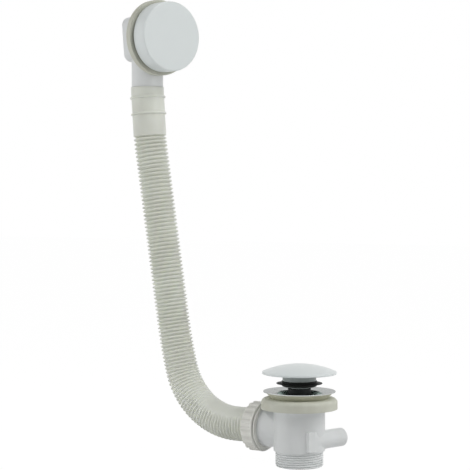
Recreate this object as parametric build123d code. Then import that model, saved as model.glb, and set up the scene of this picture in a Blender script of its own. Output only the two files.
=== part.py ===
from build123d import *
from math import cos, pi, radians, sin, sqrt, tan
import os

# A bath waste with a push plug, and the overflow that a corrugated hose joins to it.
# The origin is on the waste's axis in the plane where the bath is clamped, with +Z up.
# The overflow stands towards -X, and its cap faces +X, into the bath.
# All sizes are in millimetres.

# Clearances
FIT_GAP = 0.1  # between pieces that are pushed or screwed together
SLIDE_GAP = 0.3  # between pieces that move past each other

# Waste body
BODY_R = 25.7
BODY_WALL = 2.6
BODY_DEPTH = 52.2  # from the clamp plane to the shoulder above the outlet thread, below the inlet
BODY_FLANGE_R = 35.0
BODY_FLANGE_THICK = 5.0
BODY_FLANGE_ROOT = 1.5  # rounding between the flange and the body
OUTLET_R = 23.9  # over the crests of a 1 1/2 inch pipe thread
OUTLET_LENGTH = 15.7
OUTLET_WALL = 3.4
OUTLET_CHAMFER = 1.2
FLOOR_THICK = 3.0  # ledge between the chamber and the outlet bore

# Overflow inlet of the waste body, along -X
INLET_DROP = 32.3  # from the clamp plane down to the inlet's axis
INLET_NECK_R = 19.7
INLET_RING_R = 23.4
INLET_RING_THICK = 1.5
INLET_RING_GAP = 0.6  # between the ring and the nut
INLET_THREAD_R = 20.95  # over the crests of a 1 1/4 inch pipe thread
INLET_REACH = 49.0  # from the waste's axis to the inlet's mouth
INLET_THROUGH_R = 14.3
INLET_MOUTH_CHAMFER = 2.4
TAIL_DEPTH = 20.0  # how far the hose's tail goes into the inlet

# Drain spigot of the waste body
SPIGOT_R = 9.2
SPIGOT_ROOT_R = 9.5  # where the round pipe begins, inside the body
SPIGOT_BORE_R = 6.6
SPIGOT_DROP = 41.6  # from the clamp plane down to the spigot's axis
SPIGOT_OFFSET = 16.5  # from the waste's axis to the spigot's axis
SPIGOT_HEADING = 77.0  # degrees from +X towards +Y
SPIGOT_LENGTH = 43.3  # beyond the point nearest to the waste's axis
SPIGOT_CHAMFER = 0.8
SPIGOT_CLEAR = 0.6  # from the body's side to the plain pipe
BLOCK_SIZE = 19.8  # side of the square root
BLOCK_RISE = 1.2  # of the square's middle above the spigot's axis
BLOCK_BACK = 12.6  # how far the square root starts behind that nearest point
BLOCK_END = -4.0  # where the square starts to turn into the round pipe
BLEND_END = 6.0  # where it has become round

# Centre boss of the waste body and the screw that pulls the flange down
BOSS_R = 7.0
BOSS_HEIGHT = 9.0
SPIDER_ARM_WIDTH = 3.0
SPIDER_ARM_HEIGHT = 5.0
SPIDER_ARMS = 4
INSERT_R = 4.8
INSERT_LENGTH = 8.0
SCREW_R = 3.0
SCREW_GRIP = 7.0  # length of screw inside the insert
SCREW_COLLAR_FLATS = 12.0
SCREW_COLLAR_HEIGHT = 3.0
STUD_R = 4.0
STUD_LENGTH = 5.0

# Gaskets
GASKET_R = 38.0
GASKET_BORE_R = 24.0
GASKET_THICK = 4.5
GASKET_SKIRT = 10.5  # from the clamp plane to the lower edge of the skirt
GASKET_ROUND = 4.2
FLANGE_GASKET_LOW_R = 28.0
FLANGE_GASKET_HIGH_R = 34.0

# Waste flange
FLANGE_R = 36.0
FLANGE_RIM_Z = 7.0
FLANGE_EDGE = 0.8
FLANGE_FALL = 1.8  # from the rim's top down to the edge of the seat
FLANGE_UNDER_FALL = 2.2  # the same along its lower side
SEAT_R = 23.5
SEAT_DEPTH = 3.7
THROAT_R = 22.3
THROAT_WALL = 1.8
THROAT_DEPTH = 24.0  # below the clamp plane
CROSS_ARM_WIDTH = 3.0
CROSS_THICK = 4.0
CROSS_ARMS = 4
HUB_R = 8.0

# Clicker
BARREL_R = 11.5
BARREL_BORE_R = 9.0
BARREL_TOP_Z = 9.6
BARREL_FLOOR = 5.5
PLUNGER_WALL = 2.0
PLUNGER_CROWN = 3.0
PLUNGER_LOW_Z = 3.0
PLUNGER_STEM_R = 4.0
PLUNGER_STEM_LENGTH = 3.5
SPRING_MEAN_R = 5.2
SPRING_WIRE = 0.9
SPRING_TURNS = 6
LATCH_WALL = 1.6
LATCH_HEIGHT = 2.5
LATCH_TOOTH_HEIGHT = 1.5
LATCH_TEETH = 8

# Plug, in its raised place
PLUG_R = 37.4
PLUG_RIM_Z = 26.2
PLUG_APEX_Z = 33.9
PLUG_SHELL = 2.4
PLUG_RIM_THICK = 2.1
PLUG_RIM_ROUND = 0.9
PLUG_SEAT_R = 13.5
CARRIER_R = 16.8
CARRIER_TOP_Z = 28.6
CARRIER_LOW_Z = 11.3
CARRIER_CAVITY_R = 12.3
CARRIER_CROWN_Z = 21.0
CARRIER_SOCKET_DEPTH = 4.0  # for the plug's own boss
CARRIER_LIP_R = 15.8
CARRIER_LIP_THICK = 1.2
SEAL_R = 17.0
SEAL_BORE_R = 15.0
SEAL_HEIGHT = 4.7
SEAL_LOWER_ROUND = 1.4
SEAL_LIP_R = 22.9
SEAL_LIP_THICK = 0.9
SEAL_LIP_RISE = 1.5  # from the seal's lower face to the lip
PLUG_BOSS_R = 7.5

# Union nut and its rings
NUT_LENGTH = 15.0
NUT_R = 23.6
NUT_LIP_THICK = 2.5
NUT_RIBS = 20
NUT_RIB_R = 1.9
NUT_RIB_HEIGHT = 1.4
NUT_END_ROUND = 2.2
CONE_SEAL_LENGTH = 3.0  # outside the inlet's mouth
CONE_SEAL_R = 19.6
FRICTION_RING_THICK = 1.5

# Hose
HOSE_CREST_R = 17.5
HOSE_ROOT_R = 14.8
HOSE_BORE_R = 13.2
HOSE_PITCH = 3.9
TAIL_R = 16.0
TAIL_CLEAR = 1.6  # plain tail that shows beyond the nut
CUFF_R = 17.4
CUFF_LENGTH = 53.3
CUFF_STEP = 1.2  # length over which the last corrugation becomes the cuff
CUFF_RING_PROUD = 1.5
CUFF_RING_WIDTH = 2.6
CUFF_RINGS = (11.2, 28.7)  # from the cuff's upper end down to each raised ring

# Route of the hose, from the waste's axis outwards and then up to the overflow
OVERFLOW_REACH = 191.9  # from the waste's axis to the axis of the overflow's neck
OVERFLOW_HEIGHT = 367.1  # from the clamp plane up to the cap's axis
ROUTE_ELBOW_R = 72.0
ROUTE_ELBOW_TURN = 74.7
ROUTE_SWEEP_R = 489.0
ROUTE_SWEEP_TURN = 6.1
ROUTE_SHOULDER_R = 150.0
CUFF_LEAN = 4.0  # degrees from upright
CUFF_RUN = 43.8  # straight part of the cuff
ROUTE_NECK_R = 60.0
ROUTE_NECK_RUN = 2.5

# Overflow elbow
HEAD_TURN = -15.4  # degrees about +Z, of the cap's axis from +X
ELBOW_NECK_R = 16.7
ELBOW_NECK_LENGTH = 26.5
ELBOW_SPIGOT_R = 15.6
ELBOW_SPIGOT_LENGTH = 13.5
ELBOW_BORE_R = 13.0
ELBOW_WALL = 2.4
ELBOW_HALF_WIDTH = 20.0
ELBOW_HEIGHT = 48.0
ELBOW_BACK_LOW = 17.2  # behind the neck's axis, at the chamber's floor
ELBOW_BACK_TOP = 22.4  # the same at its top
ELBOW_EDGE_ROUND = 9.0
ELBOW_BACK_ROUND = 5.0
ELBOW_FLANGE_R = 36.5
ELBOW_FLANGE_THICK = 3.0

# Overflow seal, retainer and cap
RING_R = 39.5
RING_BORE_R = 20.0
RING_THICK = 4.9
RING_SKIRT = 1.8  # how far it wraps back over the edge of the elbow's flange
RETAINER_SPIGOT_R = 17.0
RETAINER_BORE_R = 14.4
RETAINER_SPIGOT_LENGTH = 12.0
RETAINER_FLANGE_R = 28.0
RETAINER_FLANGE_THICK = 2.5
COLLAR_R = 15.0
COLLAR_BORE_R = 12.3
COLLAR_WINDOWS = 4
COLLAR_WINDOW_WIDTH = 9.0
COLLAR_WINDOW_LENGTH = 5.0
O_RING_WIRE_R = 0.75
CAP_R = 36.3
CAP_GAP = 2.0  # for water, between the cap's edge and the seal
CAP_DEPTH = 17.7
CAP_WALL = 2.25
CAP_FACE = 2.6
CAP_EDGE_ROUND = 1.5
CAP_BOSS_WALL = 2.4
CAP_BOSS_LENGTH = 6.0

# Heights on the waste's axis, which follow from the sizes above
BODY_TOP_Z = -GASKET_THICK
BODY_FLANGE_LOW_Z = BODY_TOP_Z - BODY_FLANGE_THICK
SHOULDER_Z = -BODY_DEPTH
OUTLET_END_Z = SHOULDER_Z - OUTLET_LENGTH
CHAMBER_LOW_Z = SHOULDER_Z + FLOOR_THICK
CHAMBER_R = BODY_R - BODY_WALL
OUTLET_BORE_R = OUTLET_R - OUTLET_WALL
SEAT_TOP_Z = FLANGE_RIM_Z - FLANGE_FALL
UNDER_RIM_Z = FLANGE_RIM_Z - FLANGE_EDGE
UNDER_THROAT_Z = UNDER_RIM_Z - FLANGE_UNDER_FALL
CROSS_LOW_Z = -THROAT_DEPTH
CROSS_TOP_Z = CROSS_LOW_Z + CROSS_THICK
BARREL_LOW_Z = CROSS_TOP_Z + SCREW_COLLAR_HEIGHT
BARREL_FLOOR_Z = BARREL_LOW_Z + BARREL_FLOOR
BOSS_TOP_Z = CHAMBER_LOW_Z + BOSS_HEIGHT
SEAL_LOW_Z = CARRIER_LOW_Z + CARRIER_LIP_THICK
SEAL_TOP_Z = SEAL_LOW_Z + SEAL_HEIGHT

# Distances from the waste's axis along the inlet, which follow from the sizes above
SOCKET_END = INLET_REACH - TAIL_DEPTH
NUT_LIP_FACE = INLET_REACH + CONE_SEAL_LENGTH + FRICTION_RING_THICK
NUT_END = NUT_LIP_FACE + NUT_LIP_THICK
NUT_START = NUT_END - NUT_LENGTH
INLET_RING_END = NUT_START - INLET_RING_GAP
TAIL_BORE_R = TAIL_R + FIT_GAP

# Distances forward from the neck's axis along the cap's axis
ELBOW_FACE = ELBOW_NECK_R + SLIDE_GAP + RING_SKIRT
RING_FACE = ELBOW_FACE + RING_THICK
RETAINER_FACE = RING_FACE + RETAINER_FLANGE_THICK
CAP_BACK = RING_FACE + CAP_GAP
CAP_FRONT = CAP_BACK + CAP_DEPTH
CAP_INNER_FACE = CAP_FRONT - CAP_FACE
OVERFLOW_RISE = ELBOW_NECK_LENGTH + ELBOW_HEIGHT / 2
CUFF_TOP_Z = OVERFLOW_HEIGHT - OVERFLOW_RISE

# Along the drain spigot, from its point nearest to the waste's axis
SPIGOT_PLAIN_START = sqrt(BODY_R**2 - (SPIGOT_OFFSET - SPIGOT_R) ** 2) + SPIGOT_CLEAR

INLET_AXIS = Plane(origin=(0, 0, -INLET_DROP), x_dir=(0, 1, 0), z_dir=(-1, 0, 0))


def turned(*corners):
    """Solid turned about Z from corners of (radius, height) or (radius, height, rounding)."""
    points = [(corner[0], corner[1]) for corner in corners]
    rounds = [corner[2] if len(corner) > 2 else 0 for corner in corners]
    outline = FilletPolyline(*points, radius=rounds, close=True)
    return revolve(Plane.XZ * make_face(outline), Axis.Z)


def ring(inner, outer, low, high):
    """Plain ring about Z between two radii and two heights."""
    return turned((inner, low), (outer, low), (outer, high), (inner, high))


def rod(radius, low, high):
    """Plain cylinder about Z between two heights."""
    return Pos(0, 0, low) * Cylinder(radius, high - low, align=(Align.CENTER, Align.CENTER, Align.MIN))


def spokes(count, width, reach, low, high):
    """Straight arms from the axis outwards, the first midway between +X and its neighbour."""
    arm = Pos(0, 0, low) * Box(reach, width, high - low, align=(Align.MIN, Align.CENTER, Align.MIN))
    return Part() + [Rot(0, 0, (k + 0.5) * 360 / count) * arm for k in range(count)]


def arc_level(radius, start, end):
    """Level travel along an arc whose slope goes from start to end, in degrees."""
    return radius * (sin(radians(end)) - sin(radians(start)))


def arc_rise(radius, start, end):
    """Upward travel along the same arc."""
    return radius * (cos(radians(start)) - cos(radians(end)))


def hose_route():
    """Centre line of the hose, from its tail inside the inlet to the top of its cuff."""
    lean_angle = ROUTE_ELBOW_TURN + ROUTE_SWEEP_TURN
    cuff_angle = 90 - CUFF_LEAN
    arcs = (
        (ROUTE_ELBOW_R, 0, ROUTE_ELBOW_TURN),
        (ROUTE_SWEEP_R, ROUTE_ELBOW_TURN, lean_angle),
        (ROUTE_SHOULDER_R, lean_angle, cuff_angle),
        (ROUTE_NECK_R, cuff_angle, 90),
    )
    cuff_level = CUFF_RUN * cos(radians(cuff_angle))
    cuff_rise = CUFF_RUN * sin(radians(cuff_angle))
    rise = CUFF_TOP_Z + INLET_DROP
    lean_rise = rise - ROUTE_NECK_RUN - cuff_rise - sum(arc_rise(*arc) for arc in arcs)
    lean_level = lean_rise / tan(radians(lean_angle))
    level_end = OVERFLOW_REACH - lean_level - cuff_level - sum(arc_level(*arc) for arc in arcs)
    with BuildLine(Plane.XZ) as line:
        level = Line((-SOCKET_END, -INLET_DROP), (-level_end, -INLET_DROP))
        elbow = JernArc(level @ 1, level % 1, ROUTE_ELBOW_R, -ROUTE_ELBOW_TURN)
        sweep_arc = JernArc(elbow @ 1, elbow % 1, ROUTE_SWEEP_R, -ROUTE_SWEEP_TURN)
        lean = Line(sweep_arc @ 1, sweep_arc @ 1 + (-lean_level, lean_rise))
        shoulder = JernArc(lean @ 1, lean % 1, ROUTE_SHOULDER_R, lean_angle - cuff_angle)
        cuff = Line(shoulder @ 1, shoulder @ 1 + (-cuff_level, cuff_rise))
        neck = JernArc(cuff @ 1, cuff % 1, ROUTE_NECK_R, -CUFF_LEAN)
        Line(neck @ 1, neck @ 1 + (0, ROUTE_NECK_RUN))
    return line.wire()


ROUTE = hose_route()
ROUTE_LENGTH = ROUTE.length
HEAD = Location(ROUTE @ 1, (0, 0, HEAD_TURN))
CAP_AXIS = HEAD * Location((0, 0, OVERFLOW_RISE), (0, 90, 0))


def route_plane(distance):
    """Plane across the hose at a distance along its route from the tail's end."""
    share = distance / ROUTE_LENGTH
    return Plane(origin=ROUTE @ share, x_dir=(0, 1, 0), z_dir=ROUTE % share)


def hose_rings():
    """Stations along the hose, each a distance from the tail's end and an outer radius."""
    tail_end = NUT_END + TAIL_CLEAR - SOCKET_END
    cuff_start = ROUTE_LENGTH - CUFF_LENGTH
    ridges = round((cuff_start - tail_end) / HOSE_PITCH)
    pitch = (cuff_start - tail_end) / ridges
    stations = [(0, TAIL_R), (tail_end - pitch / 2, TAIL_R)]
    for k in range(ridges):
        stations.append((tail_end + k * pitch, HOSE_ROOT_R))
        stations.append((tail_end + (k + 0.5) * pitch, HOSE_CREST_R))
    stations.append((cuff_start, HOSE_ROOT_R))
    stations.append((cuff_start + CUFF_STEP, CUFF_R))
    for drop in sorted(CUFF_RINGS, reverse=True):
        middle = ROUTE_LENGTH - drop
        stations.append((middle - CUFF_RING_WIDTH / 2, CUFF_R))
        stations.append((middle, CUFF_R + CUFF_RING_PROUD))
        stations.append((middle + CUFF_RING_WIDTH / 2, CUFF_R))
    stations.append((ROUTE_LENGTH, CUFF_R))
    return stations


def overflow_hose():
    """Corrugated hose with a plain tail, a smooth cuff and a through bore."""
    sections = [route_plane(distance) * Circle(radius) for distance, radius in hose_rings()]
    outside = loft(sections, ruled=True)
    bore = sweep(route_plane(0) * Circle(HOSE_BORE_R), path=ROUTE)
    cuff_bore = Location(ROUTE @ 1) * rod(ELBOW_SPIGOT_R + FIT_GAP, -ELBOW_SPIGOT_LENGTH, 0)
    return outside - bore - cuff_bore


def spigot_frame():
    """Frame of the drain spigot: Z along the spigot, from its point nearest to the waste's axis."""
    across = Vector(1, 0, 0).rotate(Axis.Z, SPIGOT_HEADING - 90)
    along = Vector(1, 0, 0).rotate(Axis.Z, SPIGOT_HEADING)
    origin = across * SPIGOT_OFFSET + Vector(0, 0, -SPIGOT_DROP)
    return Plane(origin=origin, x_dir=across, z_dir=along)


def drain_spigot():
    """Square root that turns into a round pipe, solid, in the waste's frame."""
    square = Pos(0, -BLOCK_RISE, 0) * Rectangle(BLOCK_SIZE, BLOCK_SIZE)
    block = extrude(Pos(0, 0, -BLOCK_BACK) * square, amount=BLOCK_BACK + BLOCK_END, dir=(0, 0, 1))
    blend = loft([Pos(0, 0, BLOCK_END) * square, Pos(0, 0, BLEND_END) * Circle(SPIGOT_ROOT_R)])
    tip = SPIGOT_LENGTH - SPIGOT_CHAMFER
    pipe = turned(
        (0, BLEND_END),
        (SPIGOT_ROOT_R, BLEND_END),
        (SPIGOT_R, SPIGOT_PLAIN_START),
        (SPIGOT_R, tip),
        (SPIGOT_R - SPIGOT_CHAMFER, SPIGOT_LENGTH),
        (0, SPIGOT_LENGTH),
    )
    return spigot_frame() * (block + blend + pipe)


def waste_body():
    """Body with its flange, threaded outlet, overflow inlet, drain spigot and centre boss."""
    shell = turned(
        (0, BODY_TOP_Z),
        (BODY_FLANGE_R, BODY_TOP_Z),
        (BODY_FLANGE_R, BODY_FLANGE_LOW_Z),
        (BODY_R, BODY_FLANGE_LOW_Z, BODY_FLANGE_ROOT),
        (BODY_R, SHOULDER_Z),
        (OUTLET_R, SHOULDER_Z),
        (OUTLET_R, OUTLET_END_Z + OUTLET_CHAMFER),
        (OUTLET_R - OUTLET_CHAMFER, OUTLET_END_Z),
        (0, OUTLET_END_Z),
    )
    neck = rod(INLET_NECK_R, 0, INLET_RING_END)
    stop_ring = rod(INLET_RING_R, INLET_RING_END - INLET_RING_THICK, INLET_RING_END)
    inlet = neck + stop_ring + rod(INLET_THREAD_R, INLET_RING_END, INLET_REACH)
    inlet_bore = turned(
        (0, 0),
        (INLET_THROUGH_R, 0),
        (INLET_THROUGH_R, SOCKET_END),
        (TAIL_BORE_R, SOCKET_END),
        (TAIL_BORE_R, INLET_REACH - INLET_MOUTH_CHAMFER),
        (TAIL_BORE_R + INLET_MOUTH_CHAMFER, INLET_REACH),
        (0, INLET_REACH),
    )
    chamber = rod(CHAMBER_R, CHAMBER_LOW_Z, BODY_TOP_Z)
    outlet_bore = rod(OUTLET_BORE_R, OUTLET_END_Z, CHAMBER_LOW_Z)
    spigot_bore = spigot_frame() * rod(SPIGOT_BORE_R, 0, SPIGOT_LENGTH)
    outside = shell + INLET_AXIS * inlet + drain_spigot()
    body = outside - chamber - outlet_bore - INLET_AXIS * inlet_bore - spigot_bore
    arms = spokes(
        SPIDER_ARMS,
        SPIDER_ARM_WIDTH,
        OUTLET_R - OUTLET_WALL / 2,
        CHAMBER_LOW_Z - SPIDER_ARM_HEIGHT,
        CHAMBER_LOW_Z,
    )
    boss = rod(BOSS_R, CHAMBER_LOW_Z - SPIDER_ARM_HEIGHT, BOSS_TOP_Z)
    insert_hole = rod(INSERT_R, BOSS_TOP_Z - INSERT_LENGTH, BOSS_TOP_Z)
    return body + arms + boss - insert_hole


def screw_insert():
    """Brass insert in the centre boss, with a blind hole for the screw."""
    low = BOSS_TOP_Z - INSERT_LENGTH
    hole = rod(SCREW_R + FIT_GAP, BOSS_TOP_Z - SCREW_GRIP, BOSS_TOP_Z)
    return rod(INSERT_R, low, BOSS_TOP_Z) - hole


def fixing_screw():
    """Screw from the insert to the cross, with a six-sided collar and a stud for the barrel."""
    tip = BOSS_TOP_Z - SCREW_GRIP
    shank = rod(SCREW_R, tip, CROSS_TOP_Z)
    collar_face = RegularPolygon(SCREW_COLLAR_FLATS / 2, 6, major_radius=False)
    collar = extrude(Pos(0, 0, CROSS_TOP_Z) * collar_face, amount=SCREW_COLLAR_HEIGHT)
    stud = rod(STUD_R, BARREL_LOW_Z, BARREL_LOW_Z + STUD_LENGTH)
    return shank + collar + stud


def body_gasket():
    """Washer below the bath that wraps the edge of the body's flange."""
    return turned(
        (GASKET_BORE_R, 0),
        (GASKET_R, 0, GASKET_ROUND),
        (GASKET_R, -GASKET_SKIRT),
        (BODY_FLANGE_R + FIT_GAP, -GASKET_SKIRT),
        (BODY_FLANGE_R + FIT_GAP, BODY_TOP_Z),
        (GASKET_BORE_R, BODY_TOP_Z),
    )


def flange_under_z(radius):
    """Height of the waste flange's lower side at a radius."""
    share = (FLANGE_R - radius) / (FLANGE_R - THROAT_R)
    return UNDER_RIM_Z - share * FLANGE_UNDER_FALL


def flange_gasket():
    """Wedge washer above the bath, under the sloping side of the metal flange."""
    bore = THROAT_R + SLIDE_GAP
    return turned(
        (bore, 0),
        (FLANGE_GASKET_LOW_R, 0),
        (FLANGE_GASKET_HIGH_R, flange_under_z(FLANGE_GASKET_HIGH_R)),
        (bore, flange_under_z(bore)),
    )


def waste_flange():
    """Thin metal flange with a seat for the plug, a throat and a cross with a screw hole."""
    throat_bore = THROAT_R - THROAT_WALL
    dish = turned(
        (FLANGE_R, FLANGE_RIM_Z),
        (SEAT_R, SEAT_TOP_Z),
        (throat_bore, SEAT_TOP_Z - SEAT_DEPTH),
        (throat_bore, CROSS_LOW_Z),
        (THROAT_R, CROSS_LOW_Z),
        (THROAT_R, UNDER_THROAT_Z),
        (FLANGE_R, UNDER_RIM_Z),
    )
    arms = spokes(CROSS_ARMS, CROSS_ARM_WIDTH, THROAT_R - THROAT_WALL / 2, CROSS_LOW_Z, CROSS_TOP_Z)
    hub = rod(HUB_R, CROSS_LOW_Z, CROSS_TOP_Z)
    return dish + arms + hub - rod(SCREW_R + FIT_GAP, CROSS_LOW_Z, CROSS_TOP_Z)


def clicker_barrel():
    """Barrel that screws on the stud and guides the plunger."""
    stud_hole = rod(STUD_R + FIT_GAP, BARREL_LOW_Z, BARREL_LOW_Z + STUD_LENGTH + FIT_GAP)
    bore = rod(BARREL_BORE_R, BARREL_FLOOR_Z, BARREL_TOP_Z)
    return rod(BARREL_R, BARREL_LOW_Z, BARREL_TOP_Z) - stud_hole - bore


def clicker_latch_ring():
    """Ring with saw teeth on the barrel's floor."""
    outer = BARREL_BORE_R - FIT_GAP
    inner = outer - LATCH_WALL
    low = BARREL_FLOOR_Z
    crown = low + LATCH_HEIGHT
    tooth_length = pi * outer / LATCH_TEETH
    tooth_face = Plane.YZ * Polygon(
        (-tooth_length / 2, crown),
        (tooth_length / 2, crown),
        (tooth_length / 2, crown + LATCH_TOOTH_HEIGHT),
        align=None,
    )
    tooth = extrude(tooth_face, amount=outer)
    teeth = Part() + [Rot(0, 0, k * 360 / LATCH_TEETH) * tooth for k in range(LATCH_TEETH)]
    toothed_band = teeth & ring(inner, outer, crown, crown + LATCH_TOOTH_HEIGHT)
    return ring(inner, outer, low, crown) + toothed_band


def clicker_spring():
    """Coil spring from the barrel's floor to the plunger's crown."""
    low = BARREL_FLOOR_Z + SPRING_WIRE / 2
    high = CARRIER_CROWN_Z - PLUNGER_CROWN - SPRING_WIRE / 2
    coil = Helix((high - low) / SPRING_TURNS, high - low, SPRING_MEAN_R, center=(0, 0, low))
    section = Plane(origin=coil @ 0, z_dir=coil % 0) * Rectangle(SPRING_WIRE, SPRING_WIRE)
    return sweep(section, path=coil, is_frenet=True)


def clicker_plunger():
    """Cup that slides in the barrel, with a stem in the plug's carrier."""
    outer = BARREL_BORE_R - SLIDE_GAP
    cup = rod(outer, PLUNGER_LOW_Z, CARRIER_CROWN_Z)
    hollow = rod(outer - PLUNGER_WALL, PLUNGER_LOW_Z, CARRIER_CROWN_Z - PLUNGER_CROWN)
    stem = rod(PLUNGER_STEM_R, CARRIER_CROWN_Z, CARRIER_CROWN_Z + PLUNGER_STEM_LENGTH)
    return cup - hollow + stem


def plug_carrier():
    """Hub with a groove for the seal, a cavity that clears the barrel and a socket for the plug."""
    groove_r = SEAL_BORE_R - FIT_GAP
    socket_low = CARRIER_TOP_Z - CARRIER_SOCKET_DEPTH
    hub = turned(
        (CARRIER_CAVITY_R, CARRIER_LOW_Z),
        (CARRIER_LIP_R, CARRIER_LOW_Z),
        (CARRIER_LIP_R, SEAL_LOW_Z),
        (groove_r, SEAL_LOW_Z),
        (groove_r, SEAL_TOP_Z),
        (CARRIER_R, SEAL_TOP_Z),
        (CARRIER_R, CARRIER_TOP_Z),
        (PLUG_BOSS_R + FIT_GAP, CARRIER_TOP_Z),
        (PLUG_BOSS_R + FIT_GAP, socket_low),
        (0, socket_low),
        (0, CARRIER_CROWN_Z),
        (CARRIER_CAVITY_R, CARRIER_CROWN_Z),
    )
    return hub - rod(PLUNGER_STEM_R + FIT_GAP, CARRIER_CROWN_Z, socket_low)


def plug_seal():
    """Rubber ring with a thin lip that meets the flange's seat."""
    lip_low = SEAL_LOW_Z + SEAL_LIP_RISE
    lip_high = lip_low + SEAL_LIP_THICK
    return turned(
        (SEAL_BORE_R, SEAL_LOW_Z),
        (SEAL_R, SEAL_LOW_Z, SEAL_LOWER_ROUND),
        (SEAL_R, lip_low),
        (SEAL_LIP_R, lip_low),
        (SEAL_LIP_R, lip_high),
        (SEAL_R, lip_high),
        (SEAL_R, SEAL_TOP_Z),
        (SEAL_BORE_R, SEAL_TOP_Z),
    )


def plug_cap():
    """Domed plug: a shell with a rounded rim, a seat ring and a boss in the carrier's socket."""
    rise = PLUG_APEX_Z - PLUG_RIM_Z
    dome_r = (PLUG_R**2 + rise**2) / (2 * rise)
    under_r = dome_r - PLUG_SHELL
    centre = Pos(0, 0, PLUG_APEX_Z - dome_r)
    above_rim = rod(PLUG_R, PLUG_RIM_Z - PLUG_RIM_THICK, PLUG_APEX_Z)
    dome = (centre * Sphere(dome_r)) & above_rim
    rim_edges = dome.edges().filter_by(GeomType.CIRCLE)
    dome = fillet(rim_edges, PLUG_RIM_ROUND)
    boss_low = CARRIER_TOP_Z - CARRIER_SOCKET_DEPTH
    shell = dome - centre * Sphere(under_r)
    stem = rod(PLUG_SEAT_R, CARRIER_TOP_Z, PLUG_APEX_Z) + rod(PLUG_BOSS_R, boss_low, CARRIER_TOP_Z)
    return shell + (stem & (centre * Sphere(dome_r)))


def union_nut():
    """Ribbed nut on the inlet's thread, with a lip that holds the rings."""
    core = turned(
        (INLET_THREAD_R + FIT_GAP, NUT_START),
        (NUT_R, NUT_START),
        (NUT_R, NUT_END, NUT_END_ROUND),
        (TAIL_R + SLIDE_GAP, NUT_END),
        (TAIL_R + SLIDE_GAP, NUT_LIP_FACE),
        (INLET_THREAD_R + FIT_GAP, NUT_LIP_FACE),
    )
    crest = NUT_R + NUT_RIB_HEIGHT
    rib = Pos(crest - NUT_RIB_R, 0, 0) * rod(NUT_RIB_R, NUT_START, NUT_END)
    ribs = Part() + [Rot(0, 0, k * 360 / NUT_RIBS) * rib for k in range(NUT_RIBS)]
    band = turned(
        (NUT_R - NUT_RIB_HEIGHT, NUT_START),
        (crest, NUT_START),
        (crest, NUT_END, NUT_END_ROUND),
        (NUT_R - NUT_RIB_HEIGHT, NUT_END),
    )
    return INLET_AXIS * (core + (ribs & band))


def union_cone_seal():
    """Rubber ring whose cone seats in the inlet's mouth, round the hose's tail."""
    tip = INLET_REACH - INLET_MOUTH_CHAMFER + FIT_GAP
    shoulder = INLET_REACH + FIT_GAP
    outer_end = INLET_REACH + CONE_SEAL_LENGTH
    return INLET_AXIS * turned(
        (TAIL_BORE_R, tip),
        (TAIL_BORE_R + INLET_MOUTH_CHAMFER, shoulder),
        (CONE_SEAL_R, shoulder),
        (CONE_SEAL_R, outer_end),
        (TAIL_BORE_R, outer_end),
    )


def union_friction_ring():
    """Plain ring between the cone seal and the nut's lip."""
    return INLET_AXIS * ring(TAIL_BORE_R, CONE_SEAL_R, INLET_REACH + CONE_SEAL_LENGTH, NUT_LIP_FACE)


def elbow_box(shrink):
    """Rounded chamber of the elbow in the head's frame, with a sloping back, drawn in by a wall."""
    low = OVERFLOW_RISE - ELBOW_HEIGHT / 2 + shrink
    high = OVERFLOW_RISE + ELBOW_HEIGHT / 2 - shrink
    front = ELBOW_FACE - ELBOW_FLANGE_THICK
    side = Plane.XZ * Polygon(
        (shrink - ELBOW_BACK_LOW, low),
        (front, low),
        (front, high),
        (shrink - ELBOW_BACK_TOP, high),
        align=None,
    )
    block = extrude(side, amount=ELBOW_HALF_WIDTH - shrink, both=True)
    long_edges = block.edges().filter_by(Axis.X)
    block = fillet(long_edges, ELBOW_EDGE_ROUND - shrink)
    back_edges = block.faces().sort_by(Axis.X)[0].edges()
    return fillet(back_edges, ELBOW_BACK_ROUND - shrink)


def overflow_elbow():
    """Chamber with a flange for the seal, a threaded socket and a neck that enters the hose."""
    level = Location((0, 0, OVERFLOW_RISE), (0, 90, 0))
    flange = level * rod(ELBOW_FLANGE_R, ELBOW_FACE - ELBOW_FLANGE_THICK, ELBOW_FACE)
    neck = rod(ELBOW_NECK_R, 0, OVERFLOW_RISE) + rod(ELBOW_SPIGOT_R, -ELBOW_SPIGOT_LENGTH, 0)
    socket = level * rod(RETAINER_SPIGOT_R + FIT_GAP, 0, ELBOW_FACE)
    neck_bore = rod(ELBOW_BORE_R, -ELBOW_SPIGOT_LENGTH, OVERFLOW_RISE)
    elbow = elbow_box(0) + flange + neck - elbow_box(ELBOW_WALL) - socket - neck_bore
    return HEAD * elbow


def overflow_seal():
    """Rubber ring on the elbow's flange, with a skirt round the flange's edge."""
    return CAP_AXIS * turned(
        (RING_BORE_R, ELBOW_FACE),
        (ELBOW_FLANGE_R + FIT_GAP, ELBOW_FACE),
        (ELBOW_FLANGE_R + FIT_GAP, ELBOW_FACE - RING_SKIRT),
        (RING_R, ELBOW_FACE - RING_SKIRT),
        (RING_R, RING_FACE),
        (RING_BORE_R, RING_FACE),
    )


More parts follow.
